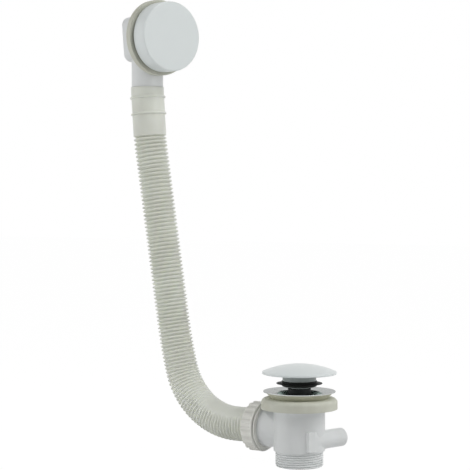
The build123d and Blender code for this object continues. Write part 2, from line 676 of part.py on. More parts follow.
def overflow_retainer():
    """Collar that clamps the bath wall, with windows for the water and a groove for the ring."""
    groove_middle = CAP_INNER_FACE - CAP_BOSS_LENGTH / 2
    groove_floor = COLLAR_R - 2 * O_RING_WIRE_R + FIT_GAP
    tube = turned(
        (RETAINER_BORE_R, RING_FACE - RETAINER_SPIGOT_LENGTH),
        (RETAINER_SPIGOT_R, RING_FACE - RETAINER_SPIGOT_LENGTH),
        (RETAINER_SPIGOT_R, RING_FACE),
        (RETAINER_FLANGE_R, RING_FACE),
        (RETAINER_FLANGE_R, RETAINER_FACE),
        (COLLAR_R, RETAINER_FACE),
        (COLLAR_R, groove_middle - O_RING_WIRE_R),
        (groove_floor, groove_middle - O_RING_WIRE_R),
        (groove_floor, groove_middle + O_RING_WIRE_R),
        (COLLAR_R, groove_middle + O_RING_WIRE_R),
        (COLLAR_R, CAP_INNER_FACE),
        (COLLAR_BORE_R, CAP_INNER_FACE),
        (COLLAR_BORE_R, RING_FACE),
        (RETAINER_BORE_R, RING_FACE),
    )
    window = Pos(0, 0, RETAINER_FACE) * Box(
        COLLAR_R,
        COLLAR_WINDOW_WIDTH,
        COLLAR_WINDOW_LENGTH,
        align=(Align.MIN, Align.CENTER, Align.MIN),
    )
    windows = Part() + [Rot(0, 0, k * 360 / COLLAR_WINDOWS) * window for k in range(COLLAR_WINDOWS)]
    return CAP_AXIS * (tube - windows)


def cap_o_ring():
    """Round rubber ring in the retainer's groove."""
    groove_middle = CAP_INNER_FACE - CAP_BOSS_LENGTH / 2
    mean_r = COLLAR_R + FIT_GAP - O_RING_WIRE_R
    return CAP_AXIS * Pos(0, 0, groove_middle) * Torus(mean_r, O_RING_WIRE_R)


def overflow_cap():
    """Round cover: a cup open at the back, with a boss that grips the retainer's collar."""
    cup = turned(
        (0, CAP_FRONT),
        (CAP_R, CAP_FRONT, CAP_EDGE_ROUND),
        (CAP_R, CAP_BACK),
        (CAP_R - CAP_WALL, CAP_BACK),
        (CAP_R - CAP_WALL, CAP_INNER_FACE),
        (0, CAP_INNER_FACE),
    )
    boss_bore = COLLAR_R + 2 * FIT_GAP
    boss = ring(boss_bore, boss_bore + CAP_BOSS_WALL, CAP_INNER_FACE - CAP_BOSS_LENGTH, CAP_INNER_FACE)
    return CAP_AXIS * (cup + boss)


PIECES = (
    overflow_cap,
    cap_o_ring,
    overflow_retainer,
    overflow_seal,
    overflow_elbow,
    overflow_hose,
    union_nut,
    union_friction_ring,
    union_cone_seal,
    waste_body,
    screw_insert,
    fixing_screw,
    body_gasket,
    flange_gasket,
    waste_flange,
    clicker_barrel,
    clicker_latch_ring,
    clicker_spring,
    clicker_plunger,
    plug_carrier,
    plug_seal,
    plug_cap,
)

os.makedirs("parts", exist_ok=True)
for make_piece in PIECES:
    export_step(make_piece(), f"parts/{make_piece.__name__}.step")
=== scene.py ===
import logging
import math
from dataclasses import dataclass, replace
from enum import Enum
from typing import Any, Callable, Sequence

import bmesh
import bpy
from mathutils import Matrix, Vector


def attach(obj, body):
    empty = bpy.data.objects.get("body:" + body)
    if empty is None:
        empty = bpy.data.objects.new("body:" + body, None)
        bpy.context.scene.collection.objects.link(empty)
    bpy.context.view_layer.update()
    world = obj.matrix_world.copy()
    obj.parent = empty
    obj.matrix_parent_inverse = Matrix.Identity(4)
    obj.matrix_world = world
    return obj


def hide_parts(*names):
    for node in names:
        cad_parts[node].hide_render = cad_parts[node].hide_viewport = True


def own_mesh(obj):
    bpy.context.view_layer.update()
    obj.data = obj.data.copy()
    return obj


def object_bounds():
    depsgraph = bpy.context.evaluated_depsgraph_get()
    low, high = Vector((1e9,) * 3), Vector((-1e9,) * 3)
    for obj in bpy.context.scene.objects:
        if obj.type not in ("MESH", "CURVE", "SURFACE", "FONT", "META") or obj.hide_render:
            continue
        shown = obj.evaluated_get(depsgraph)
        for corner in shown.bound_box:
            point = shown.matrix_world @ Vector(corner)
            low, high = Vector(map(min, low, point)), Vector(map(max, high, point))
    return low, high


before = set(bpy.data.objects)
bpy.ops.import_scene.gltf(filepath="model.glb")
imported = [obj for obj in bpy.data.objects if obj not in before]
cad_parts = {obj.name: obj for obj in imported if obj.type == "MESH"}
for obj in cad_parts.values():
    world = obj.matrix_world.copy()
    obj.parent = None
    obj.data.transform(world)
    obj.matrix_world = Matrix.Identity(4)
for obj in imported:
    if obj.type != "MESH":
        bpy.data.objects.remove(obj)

LOG = logging.getLogger("bath_waste")
MM = 0.001
CAD_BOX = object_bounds()
SHARP_ANGLE = math.radians(65)
TURNED_SHARP_ANGLE = math.radians(30)
# Gaps that count as none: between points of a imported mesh, and at the seams of a grown one
TOUCHING = 0.001 * MM
SEAM = 0.002 * MM
# Depth of the inlet's axis below the origin, in millimetres
INLET_DROP = 32.3
PLAIN_WHITE = (1.0, 1.0, 1.0, 1.0)
Node = bpy.types.Node
Socket = bpy.types.NodeSocket
Source = Node | Socket
Outputs = bpy.types.NodeOutputs
Colour = tuple[float, float, float]


class Body(Enum):
    """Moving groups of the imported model."""

    WASTE = "waste"
    PLUG = "plug"


class Surface(Enum):
    """Kinds of surface that a finish can have."""

    PLASTIC = "plastic"
    RUBBER = "rubber"
    METAL = "metal"


class Nodes:
    """Adds nodes to one tree and links them."""

    def __init__(self, tree: bpy.types.NodeTree) -> None:
        """Keeps the tree that the nodes go into."""
        self.tree = tree

    def add(self, kind: str, inputs: dict[Any, Any] | None = None, **settings: Any) -> Node:
        """Adds a node.

        Args:
            kind: Blender's name of the node type.
            inputs: what its inputs get, as in feed.
            settings: properties of the node, set before its inputs.

        Returns:
            The new node.
        """
        node = self.tree.nodes.new(kind)
        for name, value in settings.items():
            setattr(node, name, value)
        self.feed(node, inputs or {})
        return node

    def feed(self, node: Node, inputs: dict[Any, Any]) -> None:
        """Sets inputs of a node to values, or links them.

        Args:
            node: node of this tree.
            inputs: values, sockets, or nodes for their first socket, by input name or number.
        """
        for key, value in inputs.items():
            value = value.outputs[0] if isinstance(value, Node) else value
            if isinstance(value, Socket):
                self.tree.links.new(value, node.inputs[key])
            else:
                node.inputs[key].default_value = value

    def math(self, operation: str, *values: Any, clamp: bool = False) -> Socket:
        """Adds a Math node and returns its output socket."""
        node = self.add("ShaderNodeMath", dict(enumerate(values)), operation=operation, use_clamp=clamp)
        return node.outputs[0]

    def vector(self, operation: str, *values: Any) -> Socket:
        """Adds a Vector Math node and returns its result, a number for lengths and dot products."""
        node = self.add("ShaderNodeVectorMath", dict(enumerate(values)), operation=operation)
        return node.outputs["Value" if operation in ("LENGTH", "DOT_PRODUCT") else "Vector"]

    def smooth(self, value: Source, low: Any, high: Any) -> Socket:
        """Adds a smooth step from 0 at low to 1 at high and returns its output socket."""
        inputs = {"Value": value, "From Min": low, "From Max": high}
        return self.add("ShaderNodeMapRange", inputs, interpolation_type="SMOOTHSTEP").outputs[0]

    def blend(self, share: Source, first: Any, second: Any) -> Socket:
        """Goes from the first value to the second as share goes from 0 to 1."""
        node = self.add("ShaderNodeMix", {0: share, 2: first, 3: second}, data_type="FLOAT")
        return node.outputs[0]

    def blend_colour(self, share: Source, first: Any, second: Any) -> Socket:
        """Goes from the first colour to the second as share goes from 0 to 1."""
        node = self.add("ShaderNodeMix", {0: share, 6: first, 7: second}, data_type="RGBA")
        return node.outputs[2]

    def scaled(self, vector: Source, factor: Source) -> Socket:
        """Multiplies a vector by a number."""
        node = self.add("ShaderNodeVectorMath", {0: vector, "Scale": factor}, operation="SCALE")
        return node.outputs["Vector"]

    def joined(self, *parts: Source) -> Node:
        """Joins meshes into one.

        Args:
            parts: meshes that are joined.

        Returns:
            The node that joins them.
        """
        node = self.add("GeometryNodeJoinGeometry")
        for part in parts:
            self.feed(node, {0: part})
        return node


def new_group(
    name: str, kind: str, inputs: dict[str, Sequence[str]], outputs: dict[str, Sequence[str]]
) -> tuple[Nodes, Outputs]:
    """Makes an empty node group.

    Args:
        name: name of the group.
        kind: Shader or Geometry.
        inputs: labels of the inputs, by kind of socket.
        outputs: labels of the outputs, by kind of socket.

    Returns:
        The group's node adder, and its inputs as sockets to link from.
    """
    tree = bpy.data.node_groups.new(name, kind + "NodeTree")
    for way, sockets in (("INPUT", inputs), ("OUTPUT", outputs)):
        for socket, labels in sockets.items():
            for label in labels:
                tree.interface.new_socket(label, in_out=way, socket_type="NodeSocket" + socket)
    nodes = Nodes(tree)
    return nodes, nodes.add("NodeGroupInput").outputs


def emptied(block: bpy.types.Material | bpy.types.World) -> Nodes:
    """Gives a material or a world an empty node tree.

    Args:
        block: material or world.

    Returns:
        The node adder of its tree.
    """
    block.use_nodes = True
    block.node_tree.nodes.clear()
    return Nodes(block.node_tree)


def by_label(part: Any, labels: Sequence[str]) -> dict[str, Any]:
    """Reads fields under the labels that a node group has for them, as bore_radius for Bore Radius."""
    return {label: getattr(part, label.lower().replace(" ", "_")) for label in labels}


# Shader groups that several finishes share

MOULDED_VALUES = ("Drift", "Drift Size", "Roughness", "Roughness Drift", "Grain Size", "Speck")
CLOUD_EDGES = (0.35, 0.7)
SPECK_EDGES = (0.62, 0.72)
MARK_EDGES = (0.55, 0.8)
MARKS_PER_METRE = 90.0
BEVEL_SAMPLES = 6


def moulded_skin_group() -> bpy.types.NodeTree:
    """Makes the colour drift, roughness drift and fine grain of a moulded surface.

    Returns:
        The shader group.
    """
    inputs = {"Color": ("Colour", "Drift Colour"), "Float": MOULDED_VALUES}
    outputs = {"Color": ("Colour",), "Float": ("Roughness", "Height")}
    nodes, given = new_group("moulded_skin", "Shader", inputs, outputs)
    place = nodes.add("ShaderNodeTexCoord").outputs["Object"]
    per_metre = nodes.math("DIVIDE", 1 / MM, given["Drift Size"])
    cloud = nodes.add("ShaderNodeTexNoise", {"Vector": place, "Scale": per_metre, "Detail": 3.0})
    grain_scale = nodes.math("DIVIDE", 1 / MM, given["Grain Size"])
    grain = nodes.add("ShaderNodeTexNoise", {"Vector": place, "Scale": grain_scale, "Detail": 2.0})
    drift = nodes.math("MULTIPLY", nodes.smooth(cloud, *CLOUD_EDGES), given["Drift"])
    drifted = nodes.blend_colour(drift, given["Colour"], given["Drift Colour"])
    speck = nodes.math("MULTIPLY", nodes.smooth(grain, *SPECK_EDGES), given["Speck"])
    specked = nodes.blend_colour(speck, drifted, given["Drift Colour"])
    swing = nodes.math("SUBTRACT", cloud, 0.5)
    rough = nodes.math("MULTIPLY_ADD", swing, given["Roughness Drift"], given["Roughness"])
    nodes.add("NodeGroupOutput", {"Colour": specked, "Roughness": rough, "Height": grain})
    return nodes.tree


def turned_marks_group() -> bpy.types.NodeTree:
    """Makes the fine rings about Z and faint water marks of a polished, turned metal surface.

    Returns:
        The shader group.
    """
    inputs = {"Float": ("Ring Size", "Roughness", "Mark Roughness")}
    outputs = {"Float": ("Roughness", "Height", "Radius")}
    nodes, given = new_group("turned_marks", "Shader", inputs, outputs)
    place = nodes.add("ShaderNodeTexCoord").outputs["Object"]
    split = nodes.add("ShaderNodeSeparateXYZ", {0: place})
    flat = nodes.add("ShaderNodeCombineXYZ", {0: split.outputs[0], 1: split.outputs[1]})
    radius = nodes.vector("LENGTH", flat)
    across = nodes.math("DIVIDE", nodes.math("DIVIDE", radius, MM), given["Ring Size"])
    rings = nodes.add("ShaderNodeTexNoise", {"W": across, "Scale": 1.0, "Detail": 1.0}, noise_dimensions="1D")
    marks = nodes.add("ShaderNodeTexNoise", {"Vector": place, "Scale": MARKS_PER_METRE, "Detail": 4.0})
    share = nodes.smooth(marks, *MARK_EDGES)
    rough = nodes.blend(share, given["Roughness"], given["Mark Roughness"])
    nodes.add("NodeGroupOutput", {"Roughness": rough, "Height": rings, "Radius": radius})
    return nodes.tree


MOULDED_SKIN = moulded_skin_group()
TURNED_MARKS = turned_marks_group()


@dataclass(frozen=True)
class Finish:
    """Looks of one material, with sizes in millimetres."""

    name: str
    surface: Surface
    colour: Colour
    drift_colour: Colour = (0.5, 0.5, 0.5)
    drift: float = 0.5
    drift_size: float = 30.0
    roughness: float = 0.4
    roughness_drift: float = 0.1
    grain_size: float = 0.4
    grain_height: float = 0.003
    speck: float = 0.0
    edge_round: float = 0.35
    specular: float = 0.5
    coat: float = 0.0
    # Radius inside which a metal turns to its drift colour, and the width of that fade: painted shade in the
    # flange's throat
    dull_radius: float = 0.0
    dull_fade: float = 0.8
    edge_tint: float = 1.0
    glow_depth: float = 0.0
    glow: float = 0.6
    glow_spread: Colour = (1.0, 1.0, 0.9)
    slot: str = ""

    def material(self) -> bpy.types.Material:
        """Builds the material, once.

        Returns:
            The material with this finish.
        """
        label = self.name + "_look"
        made = bpy.data.materials.get(label)
        if made:
            return made
        made = bpy.data.materials.new(label)
        nodes = emptied(made)
        shader = nodes.add("ShaderNodeBsdfPrincipled")
        nodes.add("ShaderNodeOutputMaterial", {"Surface": shader})
        skin = self._metal(nodes, shader) if self.surface is Surface.METAL else self._moulded(nodes, shader)
        relief = {"Distance": self.grain_height * MM, "Height": skin.outputs["Height"]}
        if self.edge_round:
            edges = nodes.add("ShaderNodeBevel", {"Radius": self.edge_round * MM}, samples=BEVEL_SAMPLES)
            relief["Normal"] = edges
        bump = nodes.add("ShaderNodeBump", relief)
        nodes.feed(shader, {"Normal": bump})
        made.diffuse_color = (*self.colour, 1.0)
        return made

    def _moulded(self, nodes: Nodes, shader: Node) -> Node:
        """Feeds a plastic or rubber shader from the shared moulded skin.

        Args:
            nodes: the material's node adder.
            shader: the material's shader.

        Returns:
            The node of the shared group.
        """
        tones = {"Colour": (*self.colour, 1.0), "Drift Colour": (*self.drift_colour, 1.0)}
        values = tones | by_label(self, MOULDED_VALUES)
        skin = nodes.add("ShaderNodeGroup", values, node_tree=MOULDED_SKIN)
        nodes.feed(shader, {
            "Base Color": skin.outputs["Colour"],
            "Roughness": skin.outputs["Roughness"],
            "Specular IOR Level": self.specular,
            "Coat Weight": self.coat,
        })
        if self.glow_depth:
            nodes.feed(shader, {
                "Subsurface Weight": self.glow,
                "Subsurface Radius": self.glow_spread,
                "Subsurface Scale": self.glow_depth * MM,
            })
        return skin

    def _metal(self, nodes: Nodes, shader: Node) -> Node:
        """Feeds a metal shader from the shared turning marks, and paints shade into the throat inside a
        radius.

        Args:
            nodes: the material's node adder.
            shader: the material's shader.

        Returns:
            The node of the shared group.
        """
        values = {
            "Ring Size": self.grain_size,
            "Roughness": self.roughness,
            "Mark Roughness": self.roughness + self.roughness_drift,
        }
        skin = nodes.add("ShaderNodeGroup", values, node_tree=TURNED_MARKS)
        tone = (*self.colour, 1.0)
        # Painted shade: inside the radius the metal darkens to the drift colour, as if the throat lay in
        # shadow
        if self.dull_radius:
            edge = self.dull_radius * MM
            outside_painted_shade = nodes.smooth(skin.outputs["Radius"], edge - self.dull_fade * MM, edge)
            tone = nodes.blend_colour(outside_painted_shade, (*self.drift_colour, 1.0), tone)
        nodes.feed(shader, {
            "Base Color": tone,
            "Metallic": 1.0,
            "Specular Tint": (*[self.edge_tint] * 3, 1.0),
            "Roughness": skin.outputs["Roughness"],
        })
        return skin


class Finishes:
    """Every finish on the object."""

    WHITE_GLOSS = Finish(
        "white_gloss", Surface.PLASTIC, (0.81, 0.86, 0.855), (0.77, 0.82, 0.82),
        drift=0.35, drift_size=45, roughness=0.32, grain_size=0.7, grain_height=0.002, coat=0.1,
    )
    WHITE_PLASTIC = Finish(
        "white_plastic", Surface.PLASTIC, (0.79, 0.81, 0.81), (0.74, 0.76, 0.75),
        drift_size=22, roughness=0.36, grain_size=0.5,
    )
    IVORY_PLASTIC = Finish(
        "ivory_plastic", Surface.PLASTIC, (0.87, 0.87, 0.82), (0.81, 0.80, 0.74),
        drift_size=14, roughness=0.38, grain_size=0.45, edge_round=0,
    )
    # A lighter copy of the white plastic for the threads: painted light that offsets the shade in their
    # grooves
    WHITE_THREAD = replace(
        WHITE_PLASTIC, name="lit_white_thread", colour=(0.83, 0.85, 0.85), drift_colour=(0.78, 0.80, 0.79),
        edge_round=0, slot="white_plastic",
    )
    HOSE_PLASTIC = Finish(
        "hose_plastic", Surface.PLASTIC, (0.80, 0.82, 0.75), (0.73, 0.74, 0.67),
        drift=0.55, drift_size=26, roughness=0.45, grain_size=0.35, grain_height=0.004, edge_round=0,
        glow_depth=2.0,
    )
    BEIGE_RUBBER = Finish(
        "beige_rubber", Surface.RUBBER, (0.66, 0.67, 0.58), (0.57, 0.57, 0.48),
        drift=0.6, drift_size=16, roughness=0.58, grain_size=0.3, grain_height=0.008, speck=0.25,
        specular=0.35,
    )
    # A yellower, darker copy of the beige rubber for the flange's washer: the yellow tint is the washer's
    # own, the darkening is painted shade under the flange
    OLIVE_RUBBER = replace(
        BEIGE_RUBBER, name="shaded_olive_rubber", colour=(0.64, 0.64, 0.52), drift_colour=(0.54, 0.54, 0.42),
        drift_size=12, roughness=0.6, specular=0.3,
    )
    BLACK_RUBBER = Finish(
        "black_rubber", Surface.RUBBER, (0.004, 0.005, 0.004), (0.010, 0.011, 0.009),
        drift=0.6, drift_size=8, roughness=0.5, grain_size=0.25, grain_height=0.006, speck=0.2,
        specular=0.18, edge_round=0.2,
    )
    BLACK_PLASTIC = Finish(
        "black_plastic", Surface.PLASTIC, (0.004, 0.006, 0.006), (0.012, 0.015, 0.014),
        drift_size=10, roughness=0.5, specular=0.3,
    )
    GREY_PLASTIC = Finish(
        "grey_plastic", Surface.PLASTIC, (0.37, 0.41, 0.40), (0.32, 0.35, 0.35),
        drift_size=12,
    )
    # Its drift colour is the painted shade of the throat, inside 23.2 mm of the axis
    CHROME = Finish(
        "chrome", Surface.METAL, (0.56, 0.58, 0.57), (0.30, 0.38, 0.35),
        roughness=0.26, roughness_drift=0.16, grain_size=0.18, grain_height=0.0015, edge_round=0.15,
        dull_radius=23.2, edge_tint=0.66,
    )
    BRASS = Finish(
        "brass", Surface.METAL, (0.72, 0.56, 0.28),
        roughness=0.25, roughness_drift=0.15, grain_size=0.3, grain_height=0.002, edge_round=0.1,
    )
    STEEL = replace(BRASS, name="steel", colour=(0.60, 0.60, 0.60))


def linked(name: str, data: bpy.types.ID) -> bpy.types.Object:
    """Makes an object and links it to the scene.

    Args:
        name: name of the object.
        data: its mesh, curve, light or camera.

    Returns:
        The new object.
    """
    made = bpy.data.objects.new(name, data)
    bpy.context.scene.collection.objects.link(made)
    return made


def dress(**looks: Finish) -> None:
    """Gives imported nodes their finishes.

    Args:
        looks: finishes, by the names of the nodes.
    """
    for node, finish in looks.items():
        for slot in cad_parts[node].material_slots:
            slot.material = finish.material()
        LOG.info("dressed %s in %s", node, finish.name)


def seat(piece: bpy.types.Object, body: Body, replaces: str | None = None) -> None:
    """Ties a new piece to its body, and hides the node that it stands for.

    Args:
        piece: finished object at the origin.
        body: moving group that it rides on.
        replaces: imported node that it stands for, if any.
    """
    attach(piece, body.value)
    if replaces:
        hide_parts(replaces)
    LOG.info("built %s on %s", piece.name, body.value)


# Geometry node trees


def new_geometry_tree(name: str, floats: Sequence[str], counts: Sequence[str]) -> tuple[Nodes, Outputs]:
    """Makes a geometry tree that takes a geometry, a material and labelled values.

    Args:
        name: name of the tree.
        floats: labels of its lengths and shares.
        counts: labels of its whole numbers.

    Returns:
        The tree's node adder, and its inputs as sockets to link from.
    """
    geometry = {"Geometry": ("Geometry",)}
    inputs = geometry | {"Float": floats, "Int": counts, "Material": ("Material",)}
    return new_group(name, "Geometry", inputs, geometry)


def end_tree(nodes: Nodes, given: Outputs, shell: Source) -> None:
    """Closes a tree: merges seams, shades smooth, realizes instances and sets the material.

    Args:
        nodes: the tree's node adder.
        given: the tree's inputs.
        shell: mesh that comes out of the tree.
    """
    whole = nodes.add("GeometryNodeMergeByDistance", {"Geometry": shell, "Distance": SEAM})
    smooth = nodes.add("GeometryNodeSetShadeSmooth", {"Geometry": whole, "Shade Smooth": True})
    real = nodes.add("GeometryNodeRealizeInstances", {"Geometry": smooth})
    painted = nodes.add("GeometryNodeSetMaterial", {"Geometry": real, "Material": given["Material"]})
    nodes.add("NodeGroupOutput", {"Geometry": painted})


def grown(
    name: str,
    nodes: Nodes,
    sizes: dict[str, float],
    plain: dict[str, float],
    finish: Finish,
    place: Matrix = Matrix.Identity(4),
    source: bpy.types.ID | None = None,
) -> bpy.types.Object:
    """Runs a geometry tree and returns the result as a plain mesh object.

    Args:
        name: name of the new piece.
        nodes: node adder of the tree.
        sizes: the tree's lengths, in millimetres.
        plain: the tree's counts and shares.
        finish: looks of the piece.
        place: where the tree's own frame lies on the object.
        source: curve that the tree starts from, or none for a tree that makes its own shape.

    Returns:
        The new piece, with its place in its mesh.
    """
    holder = linked(name + "_source", source or bpy.data.meshes.new(name + "_source"))
    modifier = holder.modifiers.new("grow", "NODES")
    modifier.node_group = nodes.tree
    chosen = {label: size * MM for label, size in sizes.items()} | plain | {"Material": finish.material()}
    for item in nodes.tree.interface.items_tree:
        if item.in_out == "INPUT" and item.name in chosen:
            modifier[item.identifier] = chosen[item.name]
    bpy.context.view_layer.update()
    evaluated = holder.evaluated_get(bpy.context.evaluated_depsgraph_get())
    mesh = bpy.data.meshes.new_from_object(evaluated)
    holder.modifiers.remove(modifier)
    bpy.data.objects.remove(holder)
    mesh.transform(place)
    mesh.set_sharp_from_angle(angle=SHARP_ANGLE)
    mesh.name = name
    return linked(name, mesh)


RadiusField = Callable[[Nodes, Outputs, Socket, Socket], Socket]


def sleeve_tree(name: str, floats: Sequence[str], outer: RadiusField, inner: RadiusField) -> Nodes:
    """Tree of a closed sleeve about Z whose radii follow rules of the angle and the height.

    Args:
        name: name of the tree.
        floats: labels of the tree's lengths and shares.
        outer: radius of the outside, from the adder, the inputs, the share of a turn and the height.
        inner: radius of the inside, from the same values.

    Returns:
        The tree's node adder.
    """
    nodes, given = new_geometry_tree(name, floats, ("Segments", "Rows"))
    length = given["Length"]
    walls = []
    for inside in (False, True):
        grid = {"Vertices": given["Segments"], "Side Segments": given["Rows"], "Radius": 1.0, "Depth": length}
        tube = nodes.add("GeometryNodeMeshCylinder", grid, fill_type="NONE")
        place = nodes.add("GeometryNodeInputPosition")
        split = nodes.add("ShaderNodeSeparateXYZ", {0: place})
        angle = nodes.math("ARCTAN2", split.outputs[1], split.outputs[0])
        share = nodes.math("DIVIDE", angle, 2 * math.pi)
        height = nodes.math("ADD", split.outputs[2], nodes.math("MULTIPLY", length, 0.5))
        edge_gap = nodes.math("MINIMUM", height, nodes.math("SUBTRACT", length, height))
        at_end = nodes.math("LESS_THAN", edge_gap, TOUCHING)
        radius = inner(nodes, given, share, height)
        if not inside:
            radius = nodes.blend(at_end, outer(nodes, given, share, height), radius)
        across = [nodes.math("MULTIPLY", split.outputs[axis], radius) for axis in (0, 1)]
        moved = nodes.add("ShaderNodeCombineXYZ", {0: across[0], 1: across[1], 2: height})
        wall = nodes.add("GeometryNodeSetPosition", {"Geometry": tube.outputs["Mesh"], "Position": moved})
        if inside:
            wall = nodes.add("GeometryNodeFlipFaces", {"Mesh": wall})
        walls.append(wall)
    end_tree(nodes, given, nodes.joined(*walls))
    return nodes


# Where a thread's flanks and a nut's ribs start and end, as shares of their wave
THREAD_FLANK = (0.4, 1.0)
RIB_FLANK = (0.25, 0.85)
RIB_RUN_OUT = 1.2 * MM


def thread_outer(nodes: Nodes, given: Outputs, share: Socket, height: Socket) -> Socket:
    """Radius of a pipe thread: a rounded V that winds up, with a chamfered start and a run-out.

    Args:
        nodes: the tree's node adder.
        given: the tree's inputs.
        share: share of a turn about the axis.
        height: height along the axis.

    Returns:
        The radius.
    """
    turns = nodes.math("SUBTRACT", nodes.math("DIVIDE", height, given["Pitch"]), share)
    phase = nodes.math("FRACT", turns)
    ramp = nodes.math("ABSOLUTE", nodes.math("MULTIPLY_ADD", phase, 2.0, -1.0))
    groove = nodes.smooth(ramp, *THREAD_FLANK)
    left = nodes.math("SUBTRACT", given["Length"], height)
    fade = nodes.smooth(left, 0.0, given["Run Out"])
    depth = nodes.math("MULTIPLY", nodes.math("MULTIPLY", groove, fade), given["Depth"])
    cut = nodes.math("SUBTRACT", given["Major Radius"], depth)
    start = nodes.math("SUBTRACT", given["Major Radius"], given["Chamfer"])
    return nodes.math("MINIMUM", cut, nodes.math("ADD", start, height))


def plain_bore(nodes: Nodes, given: Outputs, share: Socket, height: Socket) -> Socket:
    """Radius of a plain bore."""
    return given["Bore Radius"]


def nut_outer(nodes: Nodes, given: Outputs, share: Socket, height: Socket) -> Socket:
    """Radius of a nut with rounded ribs that fade into both rounded ends.

    Args:
        nodes: the tree's node adder.
        given: the tree's inputs.
        share: share of a turn about the axis.
        height: height along the axis.

    Returns:
        The radius.
    """
    length = given["Length"]
    turn = nodes.math("MULTIPLY", nodes.math("MULTIPLY", share, given["Ribs"]), 2 * math.pi)
    wave = nodes.math("MULTIPLY_ADD", nodes.math("COSINE", turn), 0.5, 0.5)
    rib = nodes.smooth(wave, *RIB_FLANK)
    left = nodes.math("SUBTRACT", length, height)
    rib_start = nodes.math("ADD", given["Collar"], RIB_RUN_OUT)
    near_fade = nodes.smooth(height, given["Collar"], rib_start)
    far_fade = nodes.smooth(left, 0.0, given["Far Round"])
    rib_share = nodes.math("MULTIPLY", rib, nodes.math("MULTIPLY", near_fade, far_fade))
    core = nodes.math("MULTIPLY_ADD", rib_share, given["Rib Height"], given["Core Radius"])
    collar = nodes.math("SUBTRACT", 1.0, near_fade)
    band = nodes.math("MULTIPLY_ADD", collar, given["Rib Height"], core)
    lack = nodes.math("SUBTRACT", 1.0, nodes.math("DIVIDE", left, given["Far Round"]), clamp=True)
    level = nodes.math("SQRT", nodes.math("SUBTRACT", 1.0, nodes.math("POWER", lack, 2.0)))
    drop = nodes.math("SUBTRACT", 1.0, level)
    shoulder = nodes.math("MULTIPLY", drop, given["Far Round"])
    near_share = nodes.math("DIVIDE", height, given["Near Round"])
    near_lack = nodes.math("SUBTRACT", 1.0, near_share, clamp=True)
    near_drop = nodes.math("MULTIPLY", nodes.math("POWER", near_lack, 2.0), given["Near Round"])
    return nodes.math("SUBTRACT", nodes.math("SUBTRACT", band, shoulder), near_drop)


def nut_bore(nodes: Nodes, given: Outputs, share: Socket, height: Socket) -> Socket:
    """Radius of a threaded bore that ends in a lip."""
    past = nodes.math("GREATER_THAN", height, given["Lip Start"])
    return nodes.blend(past, given["Bore Radius"], given["Lip Radius"])


# Lengths that the trees take from the fields of a part
THREAD_LENGTHS = ("Length", "Major Radius", "Pitch", "Chamfer", "Run Out")
NUT_LENGTHS = (
    "Length", "Core Radius", "Rib Height", "Collar", "Near Round", "Far Round", "Bore Radius",
    "Lip Start", "Lip Radius",
)
HOSE_LENGTHS = (
    "Root Radius", "Bend Root Radius", "Crest Radius", "Bore Radius", "Tail Length", "Tail Radius",
    "Cuff Length", "Cuff Radius", "Ring Proud", "Ring Width", "High Ring", "Low Ring",
)
THREAD_TREE = sleeve_tree("pipe_thread", (*THREAD_LENGTHS, "Depth", "Bore Radius"), thread_outer, plain_bore)
NUT_TREE = sleeve_tree("ribbed_nut", (*NUT_LENGTHS, "Ribs"), nut_outer, nut_bore)


# Shares of the ridged run over which the ridges deepen above the lower bend, and open on its inner side
DEEPENING = (0.22, 0.5)
OPENING = (0.3, 0.12)
# How far the skin faces the bend's middle where the ridges start to close, and where they are closed
INNER_SIDE = (0.1, 0.65)
RIDGE_SHARPNESS = 1.7
CUFF_RUN_OUT = 1.6 * MM
BORE_STATIONS = 60


def mark_inner_side(nodes: Nodes, line: Source, groove: Source) -> Source:
    """Notes on each point of a line where it lies, and how deep its groove is towards the bend's middle.

    Args:
        nodes: the tree's node adder.
        line: curve in the XZ plane that bends upwards.
        groove: depth to be filled at each point of the curve.

    Returns:
        The curve with the attributes centre and fill.
    """
    tangent = nodes.add("GeometryNodeInputTangent")
    inward = nodes.vector("CROSS_PRODUCT", (0, 1, 0), tangent)
    fill = nodes.scaled(inward, groove)
    centre = nodes.add("GeometryNodeInputPosition")
    for name, value in (("centre", centre), ("fill", fill)):
        note = {"Geometry": line, "Name": name, "Value": value}
        line = nodes.add("GeometryNodeStoreNamedAttribute", note, data_type="FLOAT_VECTOR")
    return line


def fill_inner_side(nodes: Nodes, swept: Source) -> Source:
    """Raises the grooves of a swept mesh on the side that faces the bend's middle.

    Args:
        nodes: the tree's node adder.
        swept: mesh with the attributes centre and fill.

    Returns:
        The mesh without those attributes.
    """
    centre, fill = (
        nodes.add("GeometryNodeInputNamedAttribute", {"Name": name}, data_type="FLOAT_VECTOR")
        for name in ("centre", "fill")
    )
    place = nodes.add("GeometryNodeInputPosition")
    outwards = nodes.vector("NORMALIZE", nodes.vector("SUBTRACT", place, centre))
    facing = nodes.vector("DOT_PRODUCT", outwards, nodes.vector("NORMALIZE", fill))
    depth = nodes.math("MULTIPLY", nodes.smooth(facing, *INNER_SIDE), nodes.vector("LENGTH", fill))
    raised = nodes.scaled(outwards, depth)
    mesh = nodes.add("GeometryNodeSetPosition", {"Geometry": swept, "Offset": raised})
    for name in ("centre", "fill"):
        mesh = nodes.add("GeometryNodeRemoveAttribute", {"Geometry": mesh, "Name": name})
    return mesh


